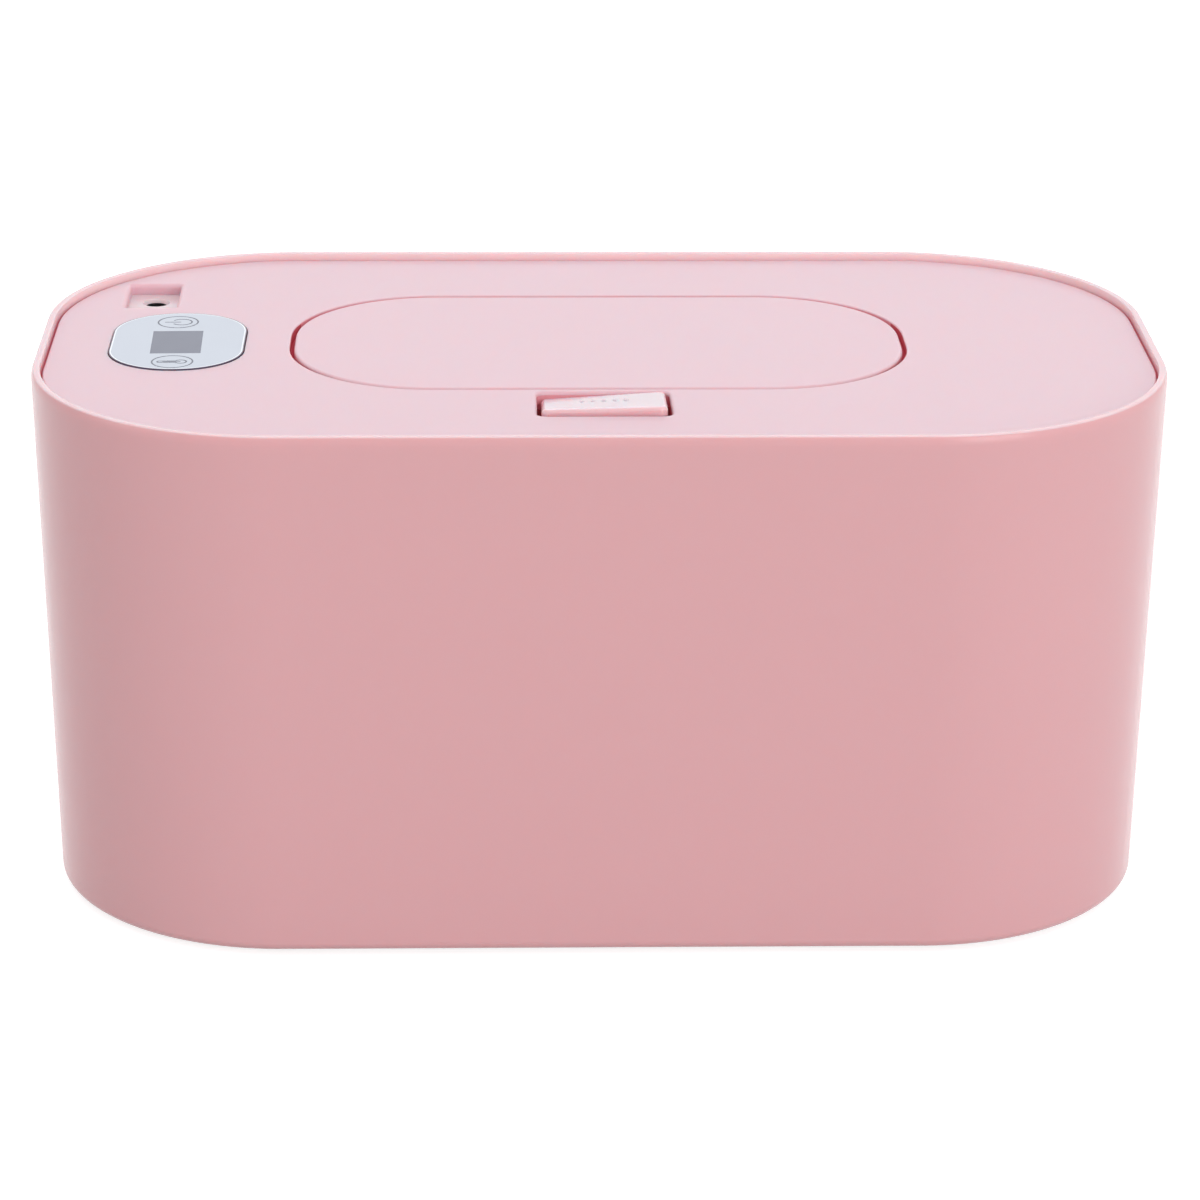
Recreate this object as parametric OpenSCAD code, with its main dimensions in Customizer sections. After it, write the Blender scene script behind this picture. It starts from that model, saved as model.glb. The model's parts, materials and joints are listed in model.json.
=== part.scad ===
// Wipe warmer: a tapered case with a wipe tank, and a heated lift-off lid
// whose flap, opened by a push button, gives access to the wipe outlet.
// Millimetres, +Z up, front towards -Y. The origin is under the middle of the feet.

/* [Case] */
// Length of the case at its rim
case_length = 200; // [192:1:230]
// Depth of the case at its rim
case_depth = 116; // [112:1:130]
// Height of the case without its feet
case_height = 95; // [85:1:120]
// Corner radius of the case at its rim
corner_radius = 44; // [43:0.5:48]
// How far each side leans in from the rim to the bottom
case_draft = 2.2; // [0.5:0.1:3.5]
// Wall of the case
case_wall = 1.6; // [1.2:0.1:2.2]
// Floor of the case
case_floor = 2.4; // [2:0.1:3.5]
// Rounding of the bottom edge
bottom_round = 1.75; // [0.5:0.25:2]
// Rounding of the rim's outer edge
rim_round = 0.9; // [0.3:0.1:1.1]

/* [Feet] */
// Diameter of a foot
foot_diameter = 14; // [12:0.5:18]
// How far a foot stands out of the case
foot_height = 1; // [0.6:0.1:2]
// Depth of the pocket that a foot is glued into
foot_pocket = 1; // [0.6:0.1:1.2]
// Distance of a foot from the ends of the case
foot_inset_x = 38; // [32:1:44]
// Distance of a foot from the front and back of the case
foot_inset_y = 28; // [26:1:34]

/* [Tank] */
// Wall and floor of the tank
tank_wall = 1.6; // [1.2:0.1:2]
// Air gap between the tank and the case
tank_gap = 2.35; // [2:0.05:3]
// Height of the tank's underside above the case floor
tank_rise = 8.6; // [7:0.1:12]
// Thickness of the tank's flange
flange_thickness = 1.5; // [1.2:0.1:2]

/* [Lid] */
// Depth of the lid's top face below the rim
lid_sink = 1.3; // [0.8:0.1:2.5]
// Gap between the lid and the case
lid_gap = 0.35; // [0.3:0.05:0.6]
// Thickness of the lid's top plate
lid_plate = 2.2; // [2:0.1:2.6]
// Depth of the lid's skirt below its top face
skirt_depth = 15.2; // [15:0.1:18]
// Wall of the lid's skirt
skirt_wall = 1.8; // [1.4:0.1:2.2]
// Thickness of the cover under the lid
base_thickness = 1.5; // [1.2:0.1:2.2]
// Thickness of the seal between the lid and the tank
gasket_thickness = 1.4; // [1:0.1:2]

/* [Flap] */
// Distance of the flap from each end of the case
flap_end_gap = 45.5; // [43:0.5:48]
// Distance of the flap from the front of the case
flap_front_gap = 31.9; // [31.5:0.1:33]
// Distance of the flap from the back of the case
flap_back_gap = 27.1; // [26:0.1:28]
// Corner radius of the flap
flap_radius = 25; // [20:0.5:27]
// Gap around the flap
flap_gap = 0.8; // [0.75:0.05:1.1]
// Thickness of the flap's skin
flap_skin = 1.3; // [1.1:0.05:1.4]
// Rounding of the flap's upper edge
flap_round = 0.6; // [0.5:0.05:0.8]
// Wall of the well under the flap
well_wall = 1.3; // [1:0.1:1.3]

/* [Hinge] */
// Distance of the hinge axis behind the flap's back edge
hinge_behind = 6; // [5.6:0.1:6.2]
// Depth of the hinge axis below the flap's top face
hinge_drop = 2.8; // [2.8:0.05:2.9]
// Diameter of a hinge pin
pin_diameter = 1.5; // [1.3:0.1:1.6]
// Running clearance of a pin in the flap's knuckle
pin_clearance = 0.05; // [0.03:0.01:0.08]
// Distance of a hinge arm from the middle of the flap
hinge_x = 25; // [18:0.5:27]
// Width of a hinge arm
arm_width = 4; // [3:0.1:4.5]
// Thickness of a hinge arm
arm_thickness = 1.5; // [1.2:0.1:1.6]

/* [Outlet] */
// Distance of the outlet's collar from the ends of the well
collar_end_gap = 8.3; // [6:0.1:11]
// Distance of the outlet's collar from the front of the well
collar_front_gap = 8.9; // [8.4:0.1:10]
// Distance of the outlet's collar from the back of the well
collar_back_gap = 12.7; // [12:0.1:14]
// Wall of the collar
collar_wall = 1.5; // [1.2:0.1:2]
// Depth of the collar's top below the lid's top face
collar_drop = 3.3; // [3:0.1:3.6]
// Length of the slot in the wipe valve
slot_length = 56; // [40:1:64]
// Width of the slot in the wipe valve
slot_width = 8; // [5:0.5:10]
// Thickness of the wipe valve
valve_thickness = 2; // [1.2:0.1:2.4]

/* [Button] */
// Length of the button's cap
cap_length = 21.6; // [20:0.2:24]
// Depth of the button's cap
cap_depth = 13; // [12.6:0.1:13.4]
// Gap around the button's cap
cap_gap = 0.7; // [0.4:0.05:0.9]
// Corner radius of the cap
cap_radius = 1.3; // [0.8:0.1:2]
// Travel of the button, which is also the travel of the latch
button_travel = 1.6; // [1.4:0.1:1.7]
// Height by which the cap's front edge stands over its back edge
cap_slope = 1.7; // [1:0.1:2.2]
// Height by which the cap's right end stands over its left end
cap_lean = 0.8; // [0:0.1:1]

/* [Control panel] */
// Width of the panel lens
lens_width = 24; // [23.6:0.1:26]
// Length of the panel lens, front to back
lens_length = 35; // [33:0.1:36]
// Corner radius of the panel lens
lens_radius = 11.7; // [8:0.1:11.8]
// Thickness of the panel lens
lens_thickness = 1.3; // [1:0.1:1.5]
// How far the lens stands out of the lid
lens_proud = 0.2; // [0.1:0.05:0.4]
// Distance of the lens's middle from the left end of the case
lens_inset = 24.6; // [24.5:0.1:26]
// Distance of the lens's middle in front of the inlet recess's middle
lens_offset = 29.8; // [28:0.1:31]
// Width of the display
display_width = 9; // [7:0.1:10]
// Length of the display, front to back
display_length = 13.9; // [12:0.1:14.5]
// Diameter of the coil under a touch key
touch_diameter = 6; // [4:0.1:7]

/* [Power inlet] */
// Diameter of the plug that the jack takes
plug_diameter = 3.5; // [3:0.1:4]
// Clearance around the plug
plug_clearance = 0.05; // [0.03:0.01:0.1]
// Diameter of the jack's centre pin
jack_pin_diameter = 1.3; // [1:0.1:1.4]
// Width of the recess around the inlet
recess_width = 9.4; // [8.6:0.1:10]
// Length of the recess around the inlet, front to back
recess_length = 15.2; // [12:0.1:15.4]
// Depth of the recess around the inlet
recess_depth = 2; // [1.6:0.1:2.2]
// Distance of the recess from the left end of the case
recess_inset = 13.3; // [13:0.1:14]
// Distance of the recess's middle from the back of the case
recess_back_gap = 26.2; // [25.8:0.1:27]
// Distance of the inlet behind the recess's middle
inlet_offset = 2.1; // [0:0.1:2.3]

/* [Heater] */
// Distance of the heater plate from the ends of the case
heater_end_gap = 24; // [22:1:27]
// Distance of the heater plate from the front and back of the case
heater_side_gap = 17; // [16.5:0.5:18]
// Thickness of the heater plate
heater_thickness = 1; // [0.8:0.1:1.5]
// Thickness of the heating film
film_thickness = 0.3; // [0.2:0.05:0.5]

/* [Boards and wires] */
// Thickness of the control board
board_thickness = 1.6; // [1.2:0.1:1.6]
// Gap between the control board and the lid's cover
board_gap = 1.9; // [1.8:0.1:2.4]
// Diameter of the insulated wires
wire_diameter = 1.2; // [1:0.1:1.4]

/* [Hidden] */
$fn = 72;

// Sinks a piece this deep into the piece that it is moulded with
weld = 0.4;
// Lets a cutting shape run past the face that it cuts
past = 1;
// Clearance between fixed pieces that slip into each other
slip = 0.2;
// Clearance around a moving piece
run = 0.3;

// Heights, from the surface that the feet stand on
case_z = foot_height;
rim_z = case_z + case_height;
lid_z = rim_z - lid_sink;
plate_under = lid_z - lid_plate;
skirt_z = lid_z - skirt_depth;
base_z = skirt_z - base_thickness;
tank_top = base_z - gasket_thickness;
tank_z = case_z + case_floor + tank_rise;
collar_top = lid_z - collar_drop;

// Middles of the corner arcs, shared by the case, the tank and the lid
corner_x = case_length / 2 - corner_radius;
corner_y = case_depth / 2 - corner_radius;
lean = case_draft / case_height;
function case_r(z) = corner_radius - lean * (rim_z - z);
function case_inner_r(z) = case_r(z) - case_wall;
function tank_r(z) = case_inner_r(z) - tank_gap;
function skirt_r(z) = case_inner_r(z) - lid_gap;
flange_gap = 0.5;
flange_r = case_inner_r(tank_top) - flange_gap;

// Feet, and the screws under them that hold the tank
foot_x = case_length / 2 - foot_inset_x;
foot_y = case_depth / 2 - foot_inset_y;
tank_screw_shank = 1.3;
tank_screw_head = 2.5;
tank_screw_head_height = 1.8;
screw_seat = 1.8;
counterbore_z = case_z + foot_pocket + tank_screw_head_height + 0.4;
boss_top = counterbore_z + screw_seat;
tank_boss_r = 3.6;
floor_boss_r = 4.6;

// Lid screws: four at the corners, two in front and one at the back
lid_screw_shank = 1.1;
lid_screw_head = 2.4;
lid_screw_head_height = 1.2;
lid_boss_r = 3;
lid_screw_depth = 8;
corner_screw_inset_x = 38;
corner_screw_inset_y = 12;
edge_screw_inset = 10.5;
corner_screw_x = case_length / 2 - corner_screw_inset_x;
corner_screw_y = case_depth / 2 - corner_screw_inset_y;
edge_screw_y = case_depth / 2 - edge_screw_inset;
front_screw_x = 30;
LID_SCREWS = [
    [-corner_screw_x, -corner_screw_y], [corner_screw_x, -corner_screw_y],
    [-corner_screw_x, corner_screw_y], [corner_screw_x, corner_screw_y],
    [-front_screw_x, -edge_screw_y], [front_screw_x, -edge_screw_y], [0, edge_screw_y]
];

// Flap opening and the well below it
flap_length = case_length - 2 * flap_end_gap;
flap_front = flap_front_gap - case_depth / 2;
flap_back = case_depth / 2 - flap_back_gap;
flap_depth = flap_back - flap_front;
flap_y = (flap_front + flap_back) / 2;
flap_r = min(flap_radius, flap_depth / 2 - lid_gap);
opening_length = flap_length + 2 * flap_gap;
opening_depth = flap_depth + 2 * flap_gap;
opening_r = flap_r + flap_gap;
well_front = flap_front - flap_gap;
well_back = flap_back + flap_gap;
flap_under = lid_z - flap_skin;
lip_depth = 1.6;
lip_width = 1.2;

// Hinge: the flap's arms reach down under the plate's edge to pins in pockets behind the well
axis_y = flap_back + hinge_behind;
axis_z = lid_z - hinge_drop;
pin_r = pin_diameter / 2;
knuckle_r = 1.6;
hinge_cover_z = axis_z + knuckle_r + slip;
arm_inner = norm([hinge_behind - flap_gap, hinge_drop]) + 0.25;
arm_outer = arm_inner + arm_thickness;
arm_play = 0.4;
spring_room = 3.1;
pocket_from = hinge_x - arm_width / 2 - arm_play;
slot_to = hinge_x + arm_width / 2 + arm_play;
pocket_to = slot_to + spring_room;
pocket_back = axis_y + knuckle_r + 1.8;

// Well, deep enough for the arms to turn in
well_floor = axis_z - arm_outer - run;
well_bottom_thickness = 2;
well_under = well_floor - well_bottom_thickness;

// Outlet: a collar in the well, a ledge in it for the valve, a tube below it
collar_length = opening_length - 2 * collar_end_gap;
collar_depth = opening_depth - collar_front_gap - collar_back_gap;
outlet_y = (well_front + collar_front_gap + well_back - collar_back_gap) / 2;
ledge_width = 3.5;
throat_length = collar_length - 2 * (collar_wall + ledge_width);
throat_depth = collar_depth - 2 * (collar_wall + ledge_width);
ledge_z = well_floor + 1.5;
seal_width = 3;

// Button, its slot, and the housing walls that guide it
slot_x = cap_length / 2 + cap_gap;
slot_back = well_front - well_wall;
cap_back = slot_back - 0.4;
cap_front = cap_back - cap_depth;
slot_front = cap_front - run;
cap_y = (cap_front + cap_back) / 2;
cap_under = lid_z - 4.2;
cap_rise = 0.4;
flange_out = 1.5;
cap_flange_top = plate_under - slip;
housing_wall = 1.2;
housing_inner_x = cap_length / 2 + flange_out + run;
housing_floor_z = lid_z - 9.9;
spring_pocket = 1.5;
spring_x = 8.1;
spring_r = 1.5;
spring_wire = 0.25;

// Latch: a slider below the cap, whose nose holds the flap's barb
slider_half = 4.5;
slider_z = housing_floor_z + 0.3;
slider_top = slider_z + 2.5;
slider_back = slot_back - 0.4;
slider_front = slot_front - 1.1;
upright = 1.6;
nose_z = lid_z - 6.3;
nose_top = lid_z - 4.5;
nose_tip = well_front + 1.5;
foot_half = 2.2;
foot_back_y = cap_back - 4.9;
window_back = foot_back_y + button_travel + 0.5;
ramp_y = foot_back_y - 3.5;
ramp_gap = 0.1;
ramp_floor = slider_z + 0.5;
wedge_bottom = housing_floor_z + 0.2 + button_travel;
ramp_sum = ramp_y + slider_top;
housing_thickness = 1.6;
housing_outer_x = 18.5;
housing_front = slider_front - 7;
housing_screw_x = 16.2;
housing_screw_r = 0.9;
housing_screw_reach = 5;
housing_boss_r = 2.2;
seat_wall = 1.4;

// Control panel, with the board below it
recess_y = case_depth / 2 - recess_back_gap;
lens_x = -case_length / 2 + lens_inset;
lens_y = recess_y - lens_offset;
lens_z = lid_z + lens_proud - lens_thickness;
lens_fit = 0.15;
display_shift_x = 0.2;
display_shift_y = 0.9;
display_x = lens_x - display_shift_x;
display_y = lens_y - display_shift_y;
display_fit = 0.4;
key_shift_x = 0.5;
power_key_gap = 5.65;
mode_key_gap = 5.05;
key_x = lens_x - key_shift_x;
power_key_y = display_y + display_length / 2 + power_key_gap;
mode_key_y = display_y - display_length / 2 - mode_key_gap;
touch_wire = 0.25;
touch_turns = 6;
board_z = skirt_z + board_gap;
board_top = board_z + board_thickness;
board_end_gap = 8;
board_well_gap = 3.4;
board_front_gap = 25;
board_back_gap = 19;
board_left = -case_length / 2 + board_end_gap;
board_right = -opening_length / 2 - well_wall - board_well_gap;
board_front = board_front_gap - case_depth / 2;
board_back = case_depth / 2 - board_back_gap;
board_boss_r = 2.2;
board_screw_r = 0.9;
board_screw_reach = 6;
board_head_r = 1.8;
board_head_height = 1.2;
board_screw_inset = 3;
left_screw_inset = 3.4;
left_screw_back_gap = 17;
BOARD_SCREWS = [
    [board_left + 2 * board_screw_inset, board_front + 2 * board_screw_inset],
    [board_right - board_screw_inset, board_front + board_screw_inset],
    [board_right - board_screw_inset, board_back - board_screw_inset],
    [board_left + left_screw_inset, board_back - left_screw_back_gap]
];

// Power inlet
recess_x = -case_length / 2 + recess_inset + recess_width / 2;
recess_wall = 1.4;
recess_floor = lid_z - recess_depth;
recess_under = recess_floor - 1.8;
inlet_x = recess_x + 0.3;
inlet_y = recess_y + inlet_offset;
inlet_r = plug_diameter / 2 + slip;
inlet_chamfer = 0.6;
jack_x = 8;
jack_y = 9;
jack_floor = 1;
jack_r = plug_diameter / 2 + plug_clearance;

// Heater, screwed to the lid's cover around the outlet
heater_length = case_length - 2 * heater_end_gap;
heater_depth = case_depth - 2 * heater_side_gap;
heater_z = base_z - heater_thickness;
heater_r = 27;
heater_hole = 2;
film_edge = 3;
film_top = base_z + film_thickness;
heater_screw_inset_x = 24;
heater_screw_inset_y = 3.5;
heater_screw_x = heater_length / 2 - heater_screw_inset_x;
heater_screw_y = heater_depth / 2 - heater_screw_inset_y;
heater_boss_r = 2.5;
heater_screw_r = 1;
heater_head_r = 2.1;
heater_head_height = 1;
heater_boss = 3.5;
HEATER_SCREWS = [for (x = [-1, 1], y = [-1, 1]) [x * heater_screw_x, y * heater_screw_y]];

// Sensors in a window of the lid's cover, on the film
sensor_inset = 22;
sensor_x = sensor_inset - heater_length / 2;
sensor_window = 5;
sensor_front = -16;
sensor_back = 12;
thermistor_y = 7;
thermistor_height = 1.8;
fuse_r = 0.9;
fuse_length = 9;
fuse_y = -7;

// Wires, from pads on the board's right edge down to the film and the sensors
wire_r = wire_diameter / 2;
pad_x = board_right - 1.4;
drop_x = board_right + 1.75;
wire_top = board_top + 2.2;
wire_low = well_under - wire_r - 0.25;

pink = [0.94, 0.80, 0.82];
deep_pink = [0.86, 0.66, 0.68];
white = [0.93, 0.93, 0.91];
grey = [0.55, 0.56, 0.58];
steel = [0.72, 0.73, 0.75];
dark = [0.16, 0.16, 0.18];

// Points of a quarter arc about [x, y], from one angle to another
function arc(x, y, r, from, to, steps = 6) =
    [for (i = [0 : steps]) let (a = from + (to - from) * i / steps) [x + r * cos(a), y + r * sin(a)]];

// Sweeps a profile of [distance out from the corner middle, height] round a rounded rectangle
module swept(profile, half_x, half_y) {
    for (q = [0 : 3]) {
        along = q % 2 == 0 ? half_y : half_x;
        out = q % 2 == 0 ? half_x : half_y;
        rotate([0, 0, 90 * q]) {
            translate([out, along, 0]) rotate_extrude(angle = 90) polygon(profile);
            if (along > 0)
                translate([out, along, 0]) rotate([90, 0, 0]) linear_extrude(2 * along) polygon(profile);
        }
    }
}

// Fills the middle that a swept profile leaves
module core(half_x, half_y, low, high) {
    if (half_x > 0 && half_y > 0)
        translate([-half_x, -half_y, low]) cube([2 * half_x, 2 * half_y, high - low]);
}

// Rounded rectangular slab
module slab(length, depth, r, low, high) {
    swept([[0, low], [r, low], [r, high], [0, high]], length / 2 - r, depth / 2 - r);
    core(length / 2 - r, depth / 2 - r, low, high);
}

// Rounded rectangular ring of a given wall
module ring(length, depth, r, wall, low, high) {
    swept([[r - wall, low], [r, low], [r, high], [r - wall, high]], length / 2 - r, depth / 2 - r);
}

// Box given by its lowest and highest corner
module block(low, high) {
    translate(low) cube(high - low);
}

// Upright cylinder between two heights
module post(x, y, r, low, high) {
    translate([x, y, low]) cylinder(h = high - low, r = r);
}

// Cylinder along X on the hinge axis
module axle(from, to, r) {
    translate([from, axis_y, axis_z]) rotate([0, 90, 0]) cylinder(h = to - from, r = r);
}

// Pan head screw pointing up, its head's top face at the given height
module screw(x, y, seat, head_r, head_height, shank_r, length) {
    post(x, y, head_r, seat - head_height, seat);
    post(x, y, shank_r, seat - head_height / 2, seat + length);
}

// Tube of flat sides along a list of points; no part of the path may run along the reference
module tube(path, r, reference, sides = 8) {
    last = len(path) - 1;
    rings = [
        for (i = [0 : last])
            let (
                ahead = path[min(i + 1, last)] - path[max(i - 1, 0)],
                t = ahead / norm(ahead),
                side = cross(t, reference),
                n = side / norm(side),
                b = cross(t, n)
            )
            for (s = [0 : sides - 1])
                path[i] + r * (cos(360 * s / sides) * n + sin(360 * s / sides) * b)
    ];
    walls = [
        for (i = [0 : last - 1], s = [0 : sides - 1])
            let (a = i * sides + s, b = i * sides + (s + 1) % sides)
            each [[a, b + sides, b], [a, a + sides, b + sides]]
    ];
    caps = [[for (s = [0 : sides - 1]) s], [for (s = [sides - 1 : -1 : 0]) last * sides + s]];
    polyhedron(points = rings, faces = concat(walls, caps), convexity = 8);
}

// Points of a helix about Z, from one angle to another and one height to another
function helix(r, from, to, low, high, steps) =
    [for (i = [0 : steps])
        let (a = from + (to - from) * i / steps) [r * cos(a), r * sin(a), low + (high - low) * i / steps]];

// Coil spring that stands on Z = 0
module coil(r, wire, turns, height) {
    tube(helix(r, 0, 360 * turns, wire, height - wire, 12 * turns), wire, [0, 0, 1], 6);
}

module at_feet() {
    for (x = [-1, 1], y = [-1, 1]) translate([x * foot_x, y * foot_y, 0]) children();
}

module outer_case() {
    top = case_inner_r(rim_z);
    floor_r = case_r(case_z);
    inside_z = case_z + case_floor;
    inside_round = 1;
    inside_r = case_inner_r(inside_z);
    rim_inner_round = 0.35;
    color(deep_pink) difference() {
        union() {
            swept(concat(
                [[0, case_z]],
                arc(floor_r - bottom_round, case_z + bottom_round, bottom_round, -90, 0),
                arc(corner_radius - rim_round, rim_z - rim_round, rim_round, 0, 90),
                arc(top + rim_inner_round, rim_z - rim_inner_round, rim_inner_round, 90, 180, 3),
                arc(inside_r - inside_round, inside_z + inside_round, inside_round, 0, -90, 4),
                [[0, inside_z]]
            ), corner_x, corner_y);
            core(corner_x, corner_y, case_z, inside_z);
            at_feet() post(0, 0, floor_boss_r, case_z + foot_pocket + weld, boss_top);
        }
        at_feet() {
            post(0, 0, foot_diameter / 2 + slip, case_z - past, case_z + foot_pocket);
            post(0, 0, tank_screw_head + slip, case_z, counterbore_z);
            post(0, 0, tank_screw_shank + slip, case_z, boss_top + past);
        }
    }
}

module inner_tank() {
    inner_floor = tank_z + tank_wall;
    edge_round = 2;
    low_r = tank_r(tank_z);
    floor_r = tank_r(inner_floor) - tank_wall;
    neck_z = tank_top - flange_thickness;
    color(white) difference() {
        union() {
            swept(concat(
                [[0, tank_z]],
                arc(low_r - edge_round, tank_z + edge_round, edge_round, -90, 0, 4),
                [[tank_r(neck_z), neck_z], [flange_r, neck_z], [flange_r, tank_top]],
                [[tank_r(tank_top) - tank_wall, tank_top]],
                arc(floor_r - edge_round, inner_floor + edge_round, edge_round, 0, -90, 4),
                [[0, inner_floor]]
            ), corner_x, corner_y);
            core(corner_x, corner_y, tank_z, inner_floor);
            at_feet() post(0, 0, tank_boss_r, boss_top, tank_z + weld);
        }
        at_feet() post(0, 0, tank_screw_shank, boss_top - past, tank_z);
    }
}

module insulation_pad() {
    edge = 6;
    low = case_z + case_floor;
    color(grey) difference() {
        slab(2 * (corner_x + tank_r(tank_z) - edge), 2 * (corner_y + tank_r(tank_z) - edge),
            tank_r(tank_z) - edge, low, tank_z);
        at_feet() post(0, 0, floor_boss_r + 0.8, low - past, tank_z + past);
    }
}

module tank_screws() {
    color(steel) at_feet()
        screw(0, 0, counterbore_z, tank_screw_head, tank_screw_head_height, tank_screw_shank,
            tank_z - counterbore_z - 0.3);
}

module foot(x, y) {
    edge = 0.5;
    color(grey) translate([x * foot_x, y * foot_y, 0]) rotate_extrude() polygon([
        [0, 0], [foot_diameter / 2 - edge, 0], [foot_diameter / 2, edge],
        [foot_diameter / 2, foot_height + foot_pocket], [0, foot_height + foot_pocket]
    ]);
}

// Plate and skirt of the lid, with a rounded upper edge
module lid_shell() {
    edge = 0.4;
    top_r = skirt_r(lid_z);
    swept(concat(
        [[0, plate_under], [skirt_r(plate_under) - skirt_wall, plate_under]],
        [[skirt_r(skirt_z) - skirt_wall, skirt_z], [skirt_r(skirt_z), skirt_z]],
        arc(top_r - edge, lid_z - edge, edge, 0, 90, 4),
        [[0, lid_z]]
    ), corner_x, corner_y);
    core(corner_x, corner_y, plate_under, lid_z);
}

module at_housing_screws() {
    for (x = [-1, 1]) translate([x * housing_screw_x, cap_y, 0]) children();
}

// The right hinge and its mirror image on the left
module at_hinges() {
    for (side = [0, 1]) mirror([side, 0, 0]) children();
}

module lid_top() {
    color(pink) difference() {
        union() {
            lid_shell();
            block([recess_x - recess_width / 2 - recess_wall, recess_y - recess_length / 2 - recess_wall,
                recess_under], [recess_x + recess_width / 2 + recess_wall,
                recess_y + recess_length / 2 + recess_wall, plate_under + weld]);
            for (s = LID_SCREWS) post(s.x, s.y, lid_boss_r, skirt_z, plate_under + weld);
            for (s = BOARD_SCREWS) post(s.x, s.y, board_boss_r, board_top, plate_under + weld);
            at_housing_screws() post(0, 0, housing_boss_r, housing_floor_z, plate_under + weld);
        }
        translate([0, flap_y, 0])
            slab(opening_length, opening_depth, opening_r, plate_under - past, lid_z + past);
        // Recesses under the plate for the tops of the hinges
        at_hinges() {
            block([pocket_from, well_back + well_wall, plate_under - past],
                [pocket_to, pocket_back, hinge_cover_z]);
            block([pocket_from, well_back - past, plate_under - past],
                [slot_to, pocket_back, hinge_cover_z]);
            axle(pocket_from - well_wall, pocket_to + well_wall, pin_r);
        }
        // Slot for the cap
        translate([0, (slot_front + slot_back) / 2, 0])
            slab(2 * slot_x, slot_back - slot_front, cap_radius + slip, plate_under - past, lid_z + past);
        translate([lens_x, lens_y, 0])
            slab(lens_width + 2 * lens_fit, lens_length + 2 * lens_fit, lens_radius + lens_fit,
                lens_z, lid_z + past);
        block([display_x - display_width / 2 - display_fit, display_y - display_length / 2 - display_fit,
            plate_under - past], [display_x + display_width / 2 + display_fit,
            display_y + display_length / 2 + display_fit, lens_z + past]);
        translate([recess_x, recess_y, 0]) slab(recess_width, recess_length, 0.6, recess_floor, lid_z + past);
        post(inlet_x, inlet_y, inlet_r, recess_under - past, recess_floor + past);
        translate([inlet_x, inlet_y, recess_floor - inlet_chamfer])
            cylinder(h = inlet_chamfer + 0.01, r1 = inlet_r, r2 = inlet_r + inlet_chamfer);
        for (s = LID_SCREWS) post(s.x, s.y, lid_screw_shank, skirt_z - past, skirt_z + lid_screw_depth);
        for (s = BOARD_SCREWS) post(s.x, s.y, board_screw_r, board_top - past, board_top + board_screw_reach);
        at_housing_screws()
            post(0, 0, housing_screw_r, housing_floor_z - past, housing_floor_z + housing_screw_reach);
    }
}

// Well under the flap, with the collar around the outlet, welded to the underside of the lid's plate
module outlet_well() {
    color(pink) difference() {
        union() {
            difference() {
                union() {
                    translate([0, flap_y, 0])
                        slab(opening_length + 2 * well_wall, opening_depth + 2 * well_wall,
                            opening_r + well_wall, well_under, plate_under);
                    at_hinges() block([pocket_from - well_wall, well_back, well_under],
                        [pocket_to + well_wall, pocket_back + well_wall, plate_under]);
                }
                translate([0, flap_y, 0])
                    slab(opening_length, opening_depth, opening_r, well_floor, plate_under + past);
                // Hinge pockets, and the slots through the well's back wall for the arms
                at_hinges() {
                    block([pocket_from, well_back + well_wall, well_floor],
                        [pocket_to, pocket_back, lid_z]);
                    block([pocket_from, well_back - past, well_floor], [slot_to, pocket_back, lid_z]);
                }
                // Way through the front wall for the latch nose
                block([-slider_half - run, slot_back - past, nose_z - slip],
                    [slider_half + run, well_front + past, nose_top + slip]);
            }
            // Collar, and the ledge inside it that the valve lies on
            translate([0, outlet_y, 0]) {
                ring(collar_length, collar_depth, collar_depth / 2, collar_wall,
                    well_floor - weld, collar_top);
                ring(collar_length - 2 * collar_wall + 0.2, collar_depth - 2 * collar_wall + 0.2,
                    collar_depth / 2 - collar_wall + 0.1, ledge_width + 0.1, well_floor - weld, ledge_z);
            }
        }
        translate([0, outlet_y, 0])
            slab(throat_length, throat_depth, throat_depth / 2, well_under - past, well_floor + past / 2);
        at_hinges() axle(pocket_from - well_wall - past, pocket_to + well_wall + past, pin_r);
    }
}

module lid_base() {
    r = skirt_r(skirt_z) - slip;
    rib_r = skirt_r(skirt_z) - skirt_wall - slip;
    rib_wall = 1.2;
    rib_top = skirt_z + 1.5;
    color(white) difference() {
        union() {
            slab(2 * (corner_x + r), 2 * (corner_y + r), r, base_z, skirt_z);
            ring(2 * (corner_x + rib_r), 2 * (corner_y + rib_r), rib_r, rib_wall, skirt_z - weld, rib_top);
            translate([0, outlet_y, 0])
                slab(collar_length, collar_depth, collar_depth / 2, skirt_z - weld, well_under - slip);
            for (s = HEATER_SCREWS) post(s.x, s.y, heater_boss_r, skirt_z - weld, skirt_z + heater_boss);
        }
        translate([0, outlet_y, 0])
            slab(throat_length, throat_depth, throat_depth / 2, base_z - past, well_under + past);
        // Pocket for the heating film, and the window over it for the sensors
        difference() {
            slab(heater_length - 2 * film_edge, heater_depth - 2 * film_edge, heater_r - film_edge,
                base_z - past, film_top);
            translate([0, outlet_y, 0])
                slab(collar_length, collar_depth, collar_depth / 2, base_z - 2 * past, film_top + past);
            for (s = HEATER_SCREWS) post(s.x, s.y, heater_boss_r, base_z - 2 * past, film_top + past);
        }
        block([sensor_x - sensor_window / 2, sensor_front, base_z - past],
            [sensor_x + sensor_window / 2, sensor_back, skirt_z + past]);
        for (s = HEATER_SCREWS) post(s.x, s.y, heater_screw_r, base_z - past, skirt_z + heater_boss - 0.8);
        for (s = LID_SCREWS) post(s.x, s.y, lid_screw_shank + slip, base_z - past, skirt_z + past);
    }
}

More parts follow.
